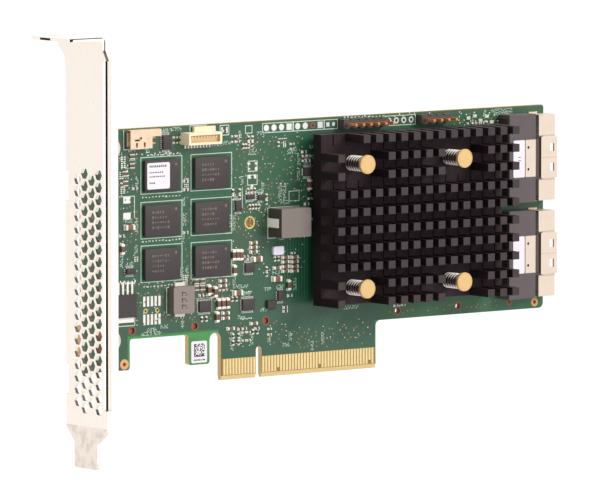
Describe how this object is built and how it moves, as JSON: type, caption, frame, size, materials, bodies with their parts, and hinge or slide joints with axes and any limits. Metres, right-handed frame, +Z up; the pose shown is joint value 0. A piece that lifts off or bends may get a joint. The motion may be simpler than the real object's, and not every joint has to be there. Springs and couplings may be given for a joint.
{
  "type": "raid controller card",
  "caption": "Server storage controller card with a vented full-height bracket, pin-fin heatsink, gold edge contacts and two internal cable ports.",
  "frame": {"origin": "middle of the key notch, half way through the board, level with the bottom edge of the gold contacts", "axes": "+X along the card from the bracket to the cable ports, +Z up from the contacts, component side towards -Y"},
  "size_m": [0.1707, 0.0216, 0.1141],
  "materials": {
    "board": "green solder mask over glass-fibre laminate",
    "gold": "thin gold plating",
    "bracket_steel": "bright nickel-plated sheet",
    "screw_steel": "plated steel",
    "anodised": "dark anodised extrusion",
    "pin_brass": "bright brass",
    "spring_steel": "bright spring wire",
    "moulded_black": "black moulding compound",
    "chip_substrate": "green laminate with a metal lid",
    "pad_grey": "soft heat-conducting pad",
    "label_white": "matt paper label",
    "port_plastic": "dark grey nylon",
    "port_metal": "tin-plated sheet",
    "cream_nylon": "natural nylon",
    "tin": "tinned solder terminals",
    "ferrite": "pressed iron powder",
    "ceramic_tan": "fired ceramic",
    "resistor_black": "glazed thick film",
    "lamp_clear": "clear cast resin"
  },
  "bodies": {
    "root": {"circuit_board": "board", "edge_contacts_front": "gold", "edge_contacts_back": "gold", "bracket": "bracket_steel", "bracket_screws": "screw_steel", "heatsink": "anodised", "heatsink_pins": "pin_brass", "heatsink_springs": "spring_steel", "controller_chip": "chip_substrate", "thermal_pad": "pad_grey", "memory_chips": "moulded_black", "chip_label": "label_white", "board_label": "label_white", "upper_port_housing": "port_plastic", "lower_port_housing": "port_plastic", "upper_port_shell": "port_metal", "lower_port_shell": "port_metal", "upper_port_latch": "port_metal", "lower_port_latch": "port_metal", "upper_port_leads": "tin", "lower_port_leads": "tin", "upper_port_label": "label_white", "lower_port_label": "label_white", "battery_connector": "cream_nylon", "battery_contacts": "gold", "sensor_connector": "cream_nylon", "sensor_contacts": "tin", "long_header_body": "moulded_black", "long_header_pins": "gold", "short_header_body": "moulded_black", "short_header_pins": "gold", "small_inductor": "ferrite", "small_inductor_terminals": "tin", "large_inductor": "ferrite", "large_inductor_clips": "tin", "power_transistor": "moulded_black", "power_transistor_leads": "tin", "small_chips": "moulded_black", "diode": "moulded_black", "crystal": "tin", "lying_capacitors": "ceramic_tan", "standing_capacitors": "ceramic_tan", "large_capacitors": "ceramic_tan", "small_resistors": "resistor_black", "resistor_arrays": "resistor_black", "indicator_lights": "lamp_clear", "back_capacitors": "ceramic_tan"}
  },
  "joints": []
}
